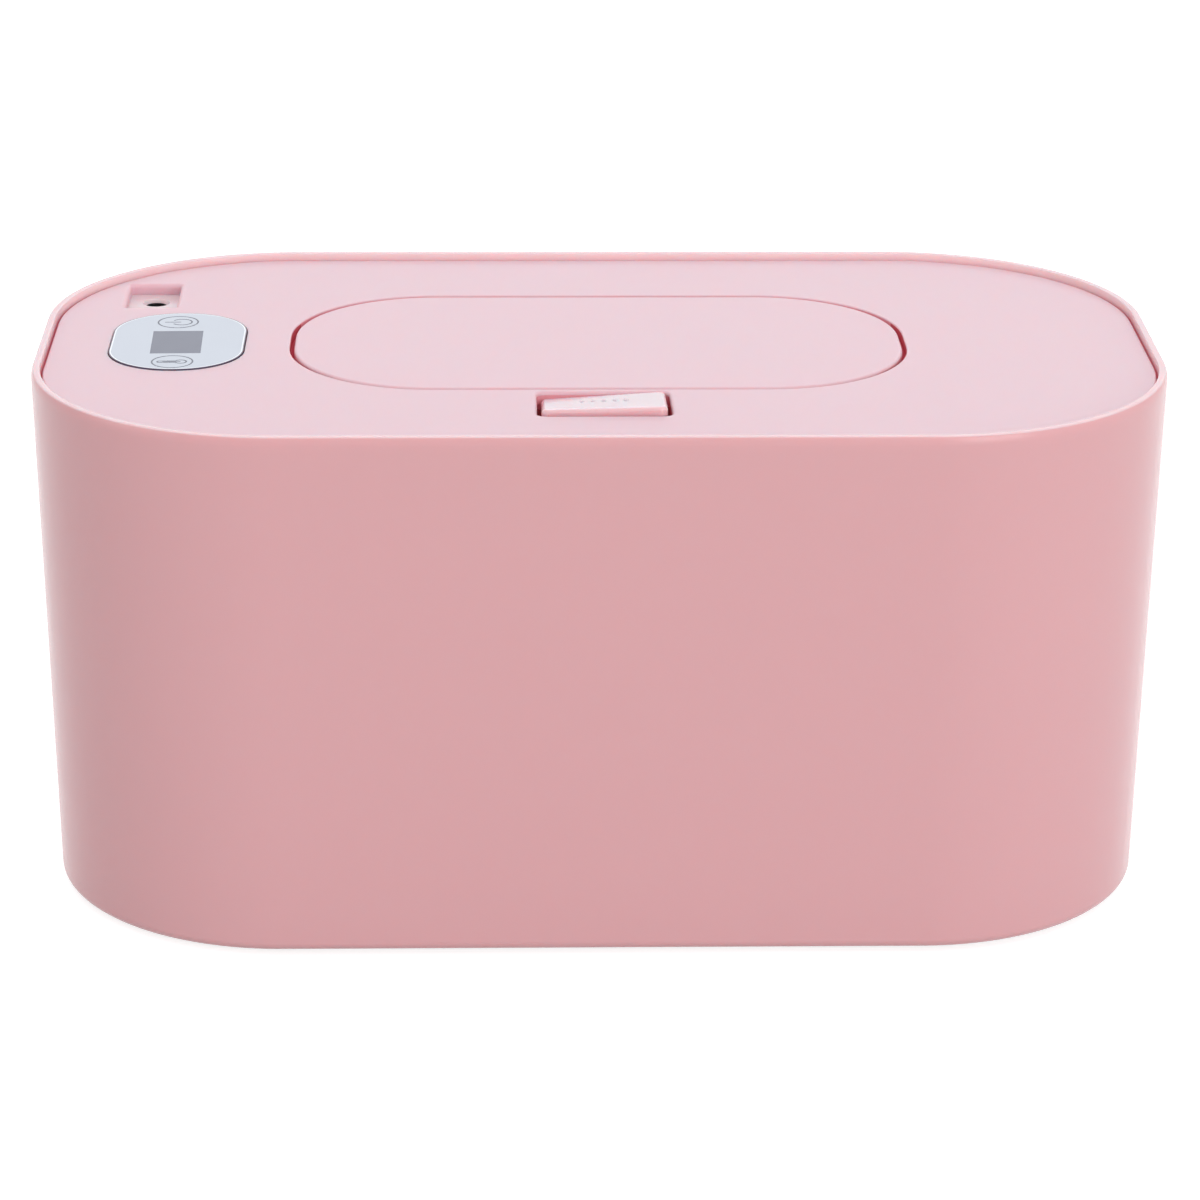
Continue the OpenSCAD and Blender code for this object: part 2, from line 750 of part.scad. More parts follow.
module lid_gasket() {
    r = flange_r - run;
    width = 2.6;
    color(grey) ring(2 * (corner_x + r), 2 * (corner_y + r), r, width, tank_top, base_z);
}

module lid_screws() {
    color(steel) for (s = LID_SCREWS)
        screw(s.x, s.y, base_z, lid_screw_head, lid_screw_head_height, lid_screw_shank,
            base_thickness + lid_screw_depth - 0.5);
}

// Arm of the flap, from its underside round the plate's edge and up to the knuckle
module hinge_arm() {
    stem_front = 0.3;
    stem_back = knuckle_r - 0.1;
    root = hinge_behind + 0.1;
    root_angle = 180 - acos(root / arm_inner);
    top = hinge_drop - flap_skin + weld;
    translate([hinge_x - arm_width / 2, axis_y, axis_z]) rotate([90, 0, 90])
        linear_extrude(arm_width) polygon(concat(
        [[-arm_outer * cos(180 - root_angle), top]],
        arc(0, 0, arm_outer, root_angle, 270, 10),
        [[stem_back - 0.9, -arm_outer], [stem_back, -arm_outer + 0.7], [stem_back, 0], [-stem_front, 0]],
        arc(0, 0, arm_inner, 266, root_angle, 10),
        [[-root, top]]
    ));
}

module flap() {
    r = flap_r;
    tongue = 1.5;
    tongue_half = slider_half + 0.5;
    tongue_front = nose_tip + run;
    barb_top = nose_z - run;
    barb_reach = 0.8;
    color(pink) difference() {
        union() {
            translate([0, flap_y, 0]) {
                swept(concat(
                    [[0, flap_under], [r - lip_width, flap_under], [r - lip_width, lid_z - lip_depth]],
                    [[r, lid_z - lip_depth]],
                    arc(r - flap_round, lid_z - flap_round, flap_round, 0, 90),
                    [[0, lid_z]]
                ), flap_length / 2 - r, flap_depth / 2 - r);
                core(flap_length / 2 - r, flap_depth / 2 - r, flap_under, lid_z);
            }
            at_hinges() {
                axle(hinge_x - arm_width / 2, hinge_x + arm_width / 2, knuckle_r);
                hinge_arm();
            }
            // Tongue with a barb that the latch nose holds down
            translate([-tongue_half, 0, 0]) rotate([90, 0, 90]) linear_extrude(2 * tongue_half) polygon([
                [tongue_front, flap_under + weld], [tongue_front, barb_top],
                [nose_tip - barb_reach, barb_top], [nose_tip - barb_reach, barb_top - 0.9],
                [nose_tip - 0.2, barb_top - tongue], [tongue_front + tongue, barb_top - tongue],
                [tongue_front + tongue, flap_under + weld]
            ]);
        }
        at_hinges() axle(pocket_from, pocket_to, pin_r + pin_clearance);
    }
}

module flap_seal() {
    color(white) translate([0, outlet_y, 0])
        ring(collar_length + 1, collar_depth + 1, (collar_depth + 1) / 2, seal_width, collar_top, flap_under);
}

module hinge_pin(side) {
    color(steel) mirror([side, 0, 0]) axle(pocket_from - well_wall, pocket_to + well_wall, pin_r);
}

// Torsion spring on the left hinge pin: one leg behind the arm, one on the pocket's back wall
module flap_spring() {
    wire = 0.25;
    r = knuckle_r - wire;
    turns = 4.75;
    low = slot_to + 0.2;
    width = spring_room - 0.8;
    behind = knuckle_r + wire + 0.1;
    path = concat(
        [[hinge_x, behind, -4.4], [low - 0.7, behind, -4.4], [low - 0.15, behind, -4], [low, behind, -3.2]],
        [for (p = helix(r, 0, 360 * turns, low, low + width, 57)) [p.z, p.x, p.y]],
        [[low + width, pocket_back - axis_y - wire - 0.1, -r]]
    );
    color(steel) mirror([1, 0, 0]) translate([0, axis_y, axis_z]) tube(path, wire, [1, 0.4, 0.3], 6);
}

module wipe_valve() {
    fit = 0.25;
    length = collar_length - 2 * (collar_wall + fit);
    depth = collar_depth - 2 * (collar_wall + fit);
    color(white) translate([0, outlet_y, 0]) difference() {
        slab(length, depth, depth / 2, ledge_z, ledge_z + valve_thickness);
        slab(slot_length, slot_width, slot_width / 2, ledge_z - past, ledge_z + valve_thickness + past);
    }
}

module release_button() {
    notch_z = nose_top + button_travel + run;
    color(pink) union() {
        difference() {
            union() {
                translate([0, cap_y, 0]) slab(cap_length, cap_depth, cap_radius, cap_under, lid_z + 4);
                for (x = [-1, 1])
                    translate([x * cap_length / 2, cap_y, (cap_under + cap_flange_top) / 2])
                        cube([2 * flange_out, cap_depth - 2 * flange_out, cap_flange_top - cap_under],
                            center = true);
            }
            // The sloping top face
            translate([0, cap_y, lid_z + cap_rise])
                rotate([-atan(cap_slope / cap_depth), -atan(cap_lean / cap_length), 0])
                    translate([-cap_length, -cap_length, 0]) cube([2 * cap_length, 2 * cap_length, 8]);
            block([-slider_half - run, slider_back - upright - button_travel - run, cap_under - past],
                [slider_half + run, cap_back + past, notch_z]);
            for (x = [-1, 1])
                post(x * spring_x, cap_y, spring_r + spring_wire + slip,
                    cap_under - past, cap_under + spring_pocket);
        }
        // Wedge that drives the slider
        translate([-foot_half, 0, 0]) rotate([90, 0, 90]) linear_extrude(2 * foot_half) polygon([
            [foot_back_y, cap_under + weld], [foot_back_y, wedge_bottom],
            [ramp_sum + ramp_gap - wedge_bottom, wedge_bottom],
            [ramp_y - 1, slider_top + 1 + ramp_gap], [ramp_y - 1, cap_under + weld]
        ]);
    }
}

module button_springs() {
    height = cap_under + spring_pocket - housing_floor_z;
    color(steel) for (x = [-1, 1])
        translate([x * spring_x, cap_y, housing_floor_z]) coil(spring_r, spring_wire, 6, height);
}

module latch_slider() {
    window_half = foot_half + run;
    color(grey) difference() {
        translate([-slider_half, 0, 0]) rotate([90, 0, 90]) linear_extrude(2 * slider_half) polygon([
            [slider_front, slider_z], [slider_back, slider_z], [slider_back, nose_z], [nose_tip, nose_z],
            [nose_tip, nose_z + 0.5], [nose_tip - 1.3, nose_top], [slider_back - upright, nose_top],
            [slider_back - upright, slider_top], [slider_front, slider_top]
        ]);
        translate([-window_half, 0, 0]) rotate([90, 0, 90]) linear_extrude(2 * window_half) polygon([
            [ramp_y - past, slider_top + past], [ramp_sum - ramp_floor, ramp_floor],
            [ramp_sum - ramp_floor, slider_z - past], [window_back, slider_z - past],
            [window_back, slider_top + past]
        ]);
    }
}

module latch_spring() {
    color(steel) translate([0, slider_front, (slider_z + slider_top) / 2]) rotate([90, 0, 0])
        coil(1, 0.2, 6, slider_front - housing_front - seat_wall);
}

// Housing under the slot: walls around the cap, a floor with rails for the slider, a seat for its spring
module latch_housing() {
    low = housing_floor_z - housing_thickness;
    rail = 1.2;
    rail_length = 2;
    spigot_r = spring_r - spring_wire - slip;
    spigot_height = 1.5;
    color(white) difference() {
        union() {
            block([-housing_outer_x, slot_front - housing_wall, low],
                [housing_outer_x, slot_back - slip, housing_floor_z]);
            difference() {
                block([-housing_inner_x - housing_wall, slot_front - housing_wall, low],
                    [housing_inner_x + housing_wall, slot_back - slip, plate_under - slip]);
                block([-housing_inner_x, slot_front, housing_floor_z],
                    [housing_inner_x, slot_back + past, lid_z]);
                // Way through the front wall for the slider
                block([-slider_half - run, slot_front - housing_wall - past, housing_floor_z],
                    [slider_half + run, slot_front + past, slider_top + run]);
            }
            block([-slider_half - run - rail, housing_front, low],
                [slider_half + run + rail, slot_front, housing_floor_z]);
            block([-slider_half - run - rail, housing_front, low],
                [slider_half + run + rail, housing_front + seat_wall, slider_top]);
            for (x = [-1, 1])
                translate([x * (slider_half + run + rail / 2), slot_front + rail_length / 2 - weld,
                    low + (slider_top - low) / 2]) cube([rail, rail_length, slider_top - low], center = true);
            for (x = [-1, 1])
                post(x * spring_x, cap_y, spigot_r, low + weld, housing_floor_z + spigot_height);
        }
        at_housing_screws() post(0, 0, housing_screw_r + slip, low - past, housing_floor_z + past);
    }
}

module housing_screws() {
    head_r = 1.8;
    head_height = 1.1;
    color(steel) at_housing_screws()
        screw(0, 0, housing_floor_z - housing_thickness, head_r, head_height, housing_screw_r,
            housing_thickness + housing_screw_reach - 0.5);
}

module panel_lens() {
    edge = 0.25;
    top = lens_z + lens_thickness;
    r = lens_radius;
    color([0.84, 0.86, 0.90]) translate([lens_x, lens_y, 0]) {
        swept([[0, lens_z], [r, lens_z], [r, top - edge], [r - edge, top], [0, top]],
            lens_width / 2 - r, lens_length / 2 - r);
        core(lens_width / 2 - r, lens_length / 2 - r, lens_z, top);
    }
}

module display_module() {
    color([0.58, 0.59, 0.64])
        block([display_x - display_width / 2, display_y - display_length / 2, board_top],
            [display_x + display_width / 2, display_y + display_length / 2, lens_z - slip]);
}

module touch_spring(y) {
    color(steel) translate([key_x, y, board_top])
        coil(touch_diameter / 2, touch_wire, touch_turns, plate_under - board_top);
}

module control_board() {
    cut = 8;
    color([0.12, 0.35, 0.22]) translate([0, 0, board_z]) difference() {
        linear_extrude(board_thickness) polygon([
            [board_right, board_front], [board_left + 6, board_front], [board_left, board_front + cut + 1],
            [board_left, board_back - cut - 3], [board_left + cut, board_back], [board_right, board_back]
        ]);
        for (s = BOARD_SCREWS) post(s.x, s.y, board_screw_r + slip, -past, board_thickness + past);
    }
}

// Chips, capacitors and the plug of the display, on top of the board
module board_components() {
    chip = [6, 5, 1.6];
    small_chip = [4.2, 3.4, 2];
    display_plug = [5, 8.6, 1.7];
    resistor = [3.2, 1.6, 1.2];
    small_resistor = [2, 1.25, 0.8];
    capacitor_r = 2.5;
    capacitor_height = 5.4;
    last_row_inset = 8;
    row_pitch = 7;
    front_row_inset = 12;
    last_row = board_back - last_row_inset;
    back_row = last_row - row_pitch;
    front_row = board_front + front_row_inset;
    capacitor_y = front_row + row_pitch + 1;
    module part(inset, y, size) {
        color(dark) translate([board_right - inset, y, board_top + size.z / 2]) cube(size, center = true);
    }
    part(9, back_row, chip);
    part(16, back_row - 1, resistor);
    part(8, last_row, small_chip);
    part(15.5, last_row, small_resistor);
    part(5.5, front_row, display_plug);
    part(22, front_row, resistor);
    color(steel) post(board_right - 6.5, capacitor_y, capacitor_r, board_top, board_top + capacitor_height);
}

module board_screws() {
    color(steel) for (s = BOARD_SCREWS)
        screw(s.x, s.y, board_z, board_head_r, board_head_height, board_screw_r,
            board_thickness + board_screw_reach - 0.5);
}

module power_jack() {
    color(dark) difference() {
        block([inlet_x - jack_x / 2, inlet_y - jack_y / 2, board_top],
            [inlet_x + jack_x / 2, inlet_y + jack_y / 2, recess_under]);
        post(inlet_x, inlet_y, jack_r, board_top + jack_floor, recess_under + past);
    }
}

module jack_pin() {
    r = jack_pin_diameter / 2;
    tip = recess_under - 0.8;
    color([0.85, 0.7, 0.35]) {
        post(inlet_x, inlet_y, r, board_top + jack_floor, tip - 0.3);
        translate([inlet_x, inlet_y, tip - 0.3]) cylinder(h = 0.3, r1 = r, r2 = r - 0.3);
    }
}

module heater_plate() {
    color(steel) difference() {
        slab(heater_length, heater_depth, heater_r, heater_z, base_z);
        translate([0, outlet_y, 0]) slab(throat_length + 2 * heater_hole, throat_depth + 2 * heater_hole,
            throat_depth / 2 + heater_hole, heater_z - past, base_z + past);
        for (s = HEATER_SCREWS) post(s.x, s.y, heater_screw_r + slip, heater_z - past, base_z + past);
    }
}

module heater_film() {
    fit = 0.3;
    color([0.75, 0.45, 0.12]) difference() {
        slab(heater_length - 2 * film_edge - 2 * fit, heater_depth - 2 * film_edge - 2 * fit,
            heater_r - film_edge - fit, base_z, film_top);
        translate([0, outlet_y, 0]) slab(collar_length + 2 * fit, collar_depth + 2 * fit,
            collar_depth / 2 + fit, base_z - past, film_top + past);
        for (s = HEATER_SCREWS) post(s.x, s.y, heater_boss_r + fit, base_z - past, film_top + past);
    }
}

module heater_screws() {
    color(steel) for (s = HEATER_SCREWS)
        screw(s.x, s.y, heater_z, heater_head_r, heater_head_height, heater_screw_r,
            heater_thickness + base_thickness + heater_boss - 1.2);
}

module thermistor() {
    color(dark) post(sensor_x, thermistor_y, 1.6, film_top, film_top + thermistor_height);
}

module thermal_fuse() {
    color(white) translate([sensor_x, fuse_y + fuse_length / 2, film_top + fuse_r]) rotate([90, 0, 0])
        cylinder(h = fuse_length, r = fuse_r);
}

// Wire from a pad on the board, over its edge and down to a place under the well
module lead(pad_y, end_y, end_z) {
    tube([
        [pad_x, pad_y, board_top], [pad_x, pad_y, wire_top - 0.8], [pad_x + 0.5, pad_y, wire_top - 0.1],
        [drop_x - 0.5, pad_y, wire_top - 0.1], [drop_x, pad_y, wire_top - 0.8],
        [drop_x, (3 * pad_y + end_y) / 4, wire_low + 1.4],
        [drop_x + 0.5, (pad_y + end_y) / 2, wire_low + 0.1],
        [drop_x + 1.6, (pad_y + 3 * end_y) / 4, wire_low], [sensor_x - 0.8, end_y, wire_low],
        [sensor_x, end_y, wire_low - 0.5], [sensor_x, end_y, end_z]
    ], wire_r, [0.2, 1, 0.1]);
}

module heater_leads() {
    color([0.75, 0.2, 0.2]) {
        lead(0, 0.5, film_top);
        lead(2.5, 3, film_top);
    }
}

module sensor_leads() {
    color(dark) lead(6.5, thermistor_y, film_top + thermistor_height);
    color(dark) lead(-8, fuse_y, film_top + 2 * fuse_r);
}

outer_case();
inner_tank();
insulation_pad();
tank_screws();
foot(-1, -1);  // foot_front_left
foot(1, -1);  // foot_front_right
foot(-1, 1);  // foot_back_left
foot(1, 1);  // foot_back_right
lid_top();
outlet_well();
lid_base();
lid_gasket();
lid_screws();
flap();
flap_seal();
hinge_pin(1);  // hinge_pin_left
hinge_pin(0);  // hinge_pin_right
flap_spring();
wipe_valve();
release_button();
button_springs();
latch_slider();
latch_spring();
latch_housing();
housing_screws();
panel_lens();
display_module();
touch_spring(power_key_y);  // touch_spring_power
touch_spring(mode_key_y);  // touch_spring_mode
control_board();
board_components();
board_screws();
power_jack();
jack_pin();
heater_plate();
heater_film();
heater_screws();
thermistor();
thermal_fuse();
heater_leads();
sensor_leads();
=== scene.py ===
"""Looks of the wipe warmer: smooth shells, printed panel, materials, camera and light."""
import json
import math

import bmesh
import bpy
from mathutils import Matrix, Vector
from mathutils.bvhtree import BVHTree


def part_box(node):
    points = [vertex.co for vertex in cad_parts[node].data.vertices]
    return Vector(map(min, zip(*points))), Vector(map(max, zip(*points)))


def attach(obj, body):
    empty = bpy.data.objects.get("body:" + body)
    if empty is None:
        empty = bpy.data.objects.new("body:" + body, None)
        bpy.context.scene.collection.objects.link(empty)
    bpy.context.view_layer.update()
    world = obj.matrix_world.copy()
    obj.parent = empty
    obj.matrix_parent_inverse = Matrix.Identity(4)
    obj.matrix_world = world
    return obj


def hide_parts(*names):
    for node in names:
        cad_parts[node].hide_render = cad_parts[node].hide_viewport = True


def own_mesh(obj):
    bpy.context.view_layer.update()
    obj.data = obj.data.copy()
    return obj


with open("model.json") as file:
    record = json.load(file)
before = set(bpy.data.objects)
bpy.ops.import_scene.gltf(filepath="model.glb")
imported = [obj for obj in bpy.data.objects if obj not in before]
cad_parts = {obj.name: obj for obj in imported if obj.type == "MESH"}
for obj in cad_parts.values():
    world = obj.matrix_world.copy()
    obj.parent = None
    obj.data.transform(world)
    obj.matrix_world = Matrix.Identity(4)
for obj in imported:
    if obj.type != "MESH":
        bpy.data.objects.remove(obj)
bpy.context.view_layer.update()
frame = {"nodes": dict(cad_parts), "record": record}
NODES = frame["nodes"]
MM = 0.001


def box_mm(node):
    """Lowest corner, highest corner and middle of a node's box, in millimetres."""
    low, high = ([c / MM for c in corner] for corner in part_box(node))
    return low, high, [(a + b) / 2 for a, b in zip(low, high)]


# Sizes in millimetres, from the frame where it has them
CASE_LOW, CASE_HIGH, _ = box_mm("outer_case")
CASE_Z, RIM_Z = CASE_LOW[2], CASE_HIGH[2]
LID_Z = RIM_Z - 1.3
CORNER_R = 44.0
CORNER_X, CORNER_Y = CASE_HIGH[0] - CORNER_R, CASE_HIGH[1] - CORNER_R
LEAN = 2.2 / (RIM_Z - CASE_Z)
CASE_WALL, CASE_FLOOR = 1.6, 2.4
RIM_ROUND_OUT, RIM_DROP, RIM_ROUND_IN, BASE_ROUND = 0.6, 1.8, 0.2, 1.75
FOOT_X, FOOT_Y = box_mm("foot_back_right")[2][:2]
LENS_LOW, LENS_HIGH, (LENS_X, LENS_Y, _) = box_mm("panel_lens")
LENS_TOP, LENS_R = LENS_HIGH[2], 11.7
FLAP_LOW, FLAP_HIGH, _ = box_mm("flap")
DISPLAY_X, DISPLAY_Y = LENS_X - 0.2, LENS_Y - 0.9
DISPLAY_HALF_X, DISPLAY_HALF_Y = 4.5, 6.95
PRINT_TURN = math.radians(1.3)
# Edges sharper than this are rounded
SHARP = math.radians(50)
CAP_Y, CAP_HALF_X, CAP_HALF_Y = -35.1, 10.8, 6.5
RECESS_HALF_X, RECESS_HALF_Y, RECESS_DEPTH = 4.7, 7.6, 2.0
INLET_R, INLET_CHAMFER, INLET_LENGTH = 1.95, 0.6, 1.8
INLET_X, INLET_Y = (c / MM for c in next(
    m["pos_m"] for m in frame["record"]["mounts"] if m["name"] == "power_inlet")[:2])
RECESS_X, RECESS_Y = INLET_X - 0.3, INLET_Y - 2.1


# Materials
def material(name, color, roughness=0.4, metallic=0.0, coat=0.0, coat_roughness=0.05, ior=1.5,
             mottle=0.02, mottle_scale=40.0, grain=0.0, grain_scale=1200.0, rough_vary=0.04,
             rough_scale=250.0, specular=0.5, subsurface=0.0, depth=1.5, brushed=None, glow=None):
    """A procedural material: base colour with slight mottling, roughness that varies, and a fine bump.

    Light goes about depth millimetres into it where it has subsurface."""
    m = bpy.data.materials.new(name)
    m.use_nodes = True
    t = m.node_tree
    t.nodes.clear()
    out = t.nodes.new("ShaderNodeOutputMaterial")
    b = t.nodes.new("ShaderNodeBsdfPrincipled")
    t.links.new(b.outputs[0], out.inputs[0])
    b.inputs["Metallic"].default_value = metallic
    b.inputs["IOR"].default_value = ior
    b.inputs["Coat Weight"].default_value = coat
    b.inputs["Coat Roughness"].default_value = coat_roughness
    b.inputs["Specular IOR Level"].default_value = specular
    if subsurface:
        b.inputs["Subsurface Weight"].default_value = subsurface
        b.inputs["Subsurface Radius"].default_value = (1.0, 0.5, 0.4)
        b.inputs["Subsurface Scale"].default_value = depth * MM
    # A painted glow: an emission that stands in for light which comes through thin plastic
    if glow:
        b.inputs["Emission Color"].default_value = (*glow, 1)
        b.inputs["Emission Strength"].default_value = 1.0
        m.cycles.emission_sampling = "NONE"
    coord = t.nodes.new("ShaderNodeTexCoord")
    vector = coord.outputs["Object"]
    if brushed:
        mapping = t.nodes.new("ShaderNodeMapping")
        mapping.inputs["Scale"].default_value = brushed
        t.links.new(vector, mapping.inputs[0])
        vector = mapping.outputs[0]

    def noise(scale, detail=3.0):
        n = t.nodes.new("ShaderNodeTexNoise")
        n.inputs["Scale"].default_value = scale
        n.inputs["Detail"].default_value = detail
        t.links.new(vector, n.inputs["Vector"])
        return n.outputs["Fac"]

    def between_colors(fac, low, high):
        mix = t.nodes.new("ShaderNodeMix")
        mix.data_type = "RGBA"
        mix.inputs["A"].default_value = (*low, 1)
        mix.inputs["B"].default_value = (*high, 1)
        t.links.new(fac, mix.inputs["Factor"])
        return mix.outputs["Result"]

    def between_values(fac, low, high):
        mapped = t.nodes.new("ShaderNodeMapRange")
        for name, value in (("From Min", 0.3), ("From Max", 0.7), ("To Min", low), ("To Max", high)):
            mapped.inputs[name].default_value = value
        t.links.new(fac, mapped.inputs["Value"])
        return mapped.outputs[0]

    low = [max(0.0, c * (1 - mottle)) for c in color]
    high = [min(1.0, c * (1 + mottle)) for c in color]
    t.links.new(between_colors(noise(mottle_scale), low, high), b.inputs["Base Color"])
    rough_low, rough_high = max(0.02, roughness - rough_vary), roughness + rough_vary
    t.links.new(between_values(noise(rough_scale), rough_low, rough_high), b.inputs["Roughness"])
    if grain:
        bump = t.nodes.new("ShaderNodeBump")
        bump.inputs["Strength"].default_value = 1.0
        bump.inputs["Distance"].default_value = grain
        t.links.new(noise(grain_scale, 2.0), bump.inputs["Height"])
        t.links.new(bump.outputs[0], b.inputs["Normal"])
    return m


def srgb(r, g, b):
    """Linear colour from an sRGB colour of 0 to 255."""
    return [((c / 255 + 0.055) / 1.055) ** 2.4 if c > 10 else c / 255 / 12.92 for c in (r, g, b)]


CASE_PINK = material("case_pink", srgb(227, 174, 178), roughness=0.2, mottle=0.005, mottle_scale=25,
                     grain=0.000001, grain_scale=700, rough_vary=0.02, specular=0.24, subsurface=0.3,
                     depth=3.0)
# The same plastic as the case, made paler in part as a painted sheen for the lit top of the lid
LID_PINK = material("lid_pink", srgb(228, 189, 199), roughness=0.5, mottle=0.008, mottle_scale=25,
                    grain=0.0000005, grain_scale=900, rough_vary=0.012, specular=0.5, coat=0.5,
                    coat_roughness=0.45, subsurface=1.0, depth=1.2)
# Painted highlight: a paler copy of the case's pink for the top of the rim
RIM_SHEEN = material("rim_painted_sheen", srgb(228, 196, 202), roughness=0.25, mottle=0.01, mottle_scale=25,
                    grain=0.000001, grain_scale=700, rough_vary=0.02, subsurface=1.0, depth=3.0)
# Painted light: a still paler copy for the rim's inner wall and the floor of the lid's recess, against the
# shade there
RIM_INNER_LIGHT = material("rim_inner_painted_light", srgb(239, 208, 212), roughness=0.25, mottle=0.01, mottle_scale=25,
                     rough_vary=0.02, subsurface=1.0, depth=3.0)
# Painted sheen: a paler copy of the button's pink for its up-facing faces
CAP_TOP_SHEEN = material("cap_top_painted_sheen", srgb(231, 206, 217), roughness=0.22, mottle=0.012, mottle_scale=600,
                   grain=0.0000005, grain_scale=900, rough_vary=0.012, coat=0.8, coat_roughness=0.12,
                   subsurface=1.0, depth=3.0)
CAP_PINK = material("cap_pink", srgb(230, 188, 194), roughness=0.22, mottle=0.008, mottle_scale=25,
                    grain=0.0000005, grain_scale=900, rough_vary=0.012, coat=0.8, coat_roughness=0.12,
                    subsurface=1.0, depth=3.0)
# Painted shade and a painted glow: a deeper pink for the gaps of the lid, whose emission stands in for light
# coming through the thin lid
GAP_SHADE_GLOW = material("gap_painted_shade_glow", srgb(222, 160, 168), roughness=0.4, mottle=0.01, mottle_scale=25,
                    specular=0.3, glow=(0.11, 0.012, 0.02))
# Painted deeper shade with a painted glow, for gap walls that face away from the front
GAP_DEEP_SHADE_GLOW = material("gap_painted_deep_shade_glow", srgb(190, 96, 106), roughness=0.5, mottle=0.01, mottle_scale=25,
                    specular=0.2, glow=(0.1, 0.006, 0.01))
# Painted shade: deep red under the button's slot and on the latch housing, where the inside of the lid is
# dark
GAP_RED_SHADE = material("gap_painted_red_shade", srgb(136, 22, 34), roughness=0.6, mottle=0.01, mottle_scale=25, specular=0.1)
TANK_WHITE = material("tank_white", srgb(238, 237, 232), roughness=0.38, grain=0.000003, grain_scale=900,
                      subsurface=0.05)
ACETAL = material("acetal", srgb(232, 230, 224), roughness=0.42, grain=0.000003, grain_scale=1500)
SILICONE = material("silicone", srgb(232, 228, 224), roughness=0.5, grain=0.000004, grain_scale=1100,
                    subsurface=0.12)
FOAM = material("foam", srgb(88, 90, 94), roughness=0.9, mottle=0.25, mottle_scale=900, grain=0.00025,
                grain_scale=1400)
RUBBER = material("rubber", srgb(214, 190, 193), roughness=0.72, mottle=0.03, grain=0.00003,
                  grain_scale=2500)
SCREW_STEEL = material("screw_steel", srgb(186, 188, 190), roughness=0.32, metallic=1.0, mottle=0.08,
                       mottle_scale=600, grain=0.000006, grain_scale=3000)
WIRE_STEEL = material("wire_steel", srgb(196, 198, 202), roughness=0.25, metallic=1.0, mottle=0.05,
                      mottle_scale=900, brushed=(1, 1, 6))
BRASS = material("brass", srgb(214, 178, 98), roughness=0.22, metallic=1.0, mottle=0.06, mottle_scale=900)
ALUMINIUM = material("aluminium", srgb(212, 214, 216), roughness=0.36, metallic=1.0, mottle=0.06,
                     mottle_scale=120, grain=0.000006, grain_scale=1600, brushed=(0.06, 1, 1))
POLYIMIDE = material("polyimide", srgb(206, 140, 42), roughness=0.28, mottle=0.12, mottle_scale=160,
                     coat=0.5)
PCB_GREEN = material("pcb_green", srgb(28, 98, 58), roughness=0.35, mottle=0.18, mottle_scale=700,
                     coat=0.4)
EPOXY = material("epoxy", srgb(34, 34, 36), roughness=0.5, mottle=0.12, mottle_scale=1500, grain=0.00001,
                 grain_scale=4000)
CERAMIC = material("ceramic", srgb(236, 233, 226), roughness=0.55, mottle=0.03, grain=0.000005)
WIRE_RED = material("wire_red", srgb(178, 30, 28), roughness=0.45, mottle=0.06, mottle_scale=700)
WIRE_BLACK = material("wire_black", srgb(30, 30, 32), roughness=0.45, mottle=0.1, mottle_scale=700)
JACK_BLACK = material("jack_black", srgb(24, 23, 25), roughness=0.38, mottle=0.1, mottle_scale=900,
                      grain=0.000006, grain_scale=2500)
PRINT = material("panel_print", srgb(188, 193, 206), roughness=0.14, mottle=0.006, mottle_scale=60,
                 rough_vary=0.02)
PRINT_LIGHT = material("panel_light_line", srgb(240, 242, 248), roughness=0.12, mottle=0.005,
                       rough_vary=0.02)
PRINT_EDGE = material("panel_edge", srgb(84, 70, 92), roughness=0.25, mottle=0.04, mottle_scale=200,
                      rough_vary=0.03, specular=0.3)
INK = material("panel_ink", srgb(88, 90, 106), roughness=0.25, mottle=0.03, mottle_scale=900, specular=0.3)
DISPLAY = material("display_face", srgb(86, 86, 108), roughness=0.14, mottle=0.02, mottle_scale=90,
                   rough_vary=0.02, specular=0.25)
CAP_MARK = material("cap_mark", srgb(212, 192, 204), roughness=0.4, mottle=0.03, mottle_scale=900)

# The outlet well gets a painted shade and glow, and the latch housing a painted deep red shade
CAD_LOOKS = {
    "outer_case": CASE_PINK, "lid_top": LID_PINK, "flap": LID_PINK, "release_button": LID_PINK,
    "outlet_well": GAP_SHADE_GLOW, "inner_tank": TANK_WHITE, "lid_base": TANK_WHITE, "insulation_pad": FOAM,
    "lid_gasket": SILICONE, "flap_seal": SILICONE, "wipe_valve": SILICONE,
    "latch_slider": ACETAL, "latch_housing": GAP_RED_SHADE, "panel_lens": PRINT, "display_module": DISPLAY,
    "control_board": PCB_GREEN, "board_components": EPOXY, "power_jack": JACK_BLACK, "jack_pin": BRASS,
    "heater_plate": ALUMINIUM, "heater_film": POLYIMIDE, "thermistor": EPOXY, "thermal_fuse": CERAMIC,
    "heater_leads": WIRE_RED, "sensor_leads": WIRE_BLACK,
    "hinge_pin_left": WIRE_STEEL, "hinge_pin_right": WIRE_STEEL, "flap_spring": WIRE_STEEL,
    "button_springs": WIRE_STEEL, "latch_spring": WIRE_STEEL, "touch_spring_power": WIRE_STEEL,
    "touch_spring_mode": WIRE_STEEL, "tank_screws": SCREW_STEEL, "lid_screws": SCREW_STEEL,
    "heater_screws": SCREW_STEEL, "board_screws": SCREW_STEEL, "housing_screws": SCREW_STEEL,
    "foot_front_left": RUBBER, "foot_front_right": RUBBER,
    "foot_back_left": RUBBER, "foot_back_right": RUBBER,
}


def dress_nodes():
    for node, look in CAD_LOOKS.items():
        slots = NODES[node].material_slots
        for s in slots:
            s.material = look
        if not slots:
            NODES[node].data.materials.append(look)


dress_nodes()


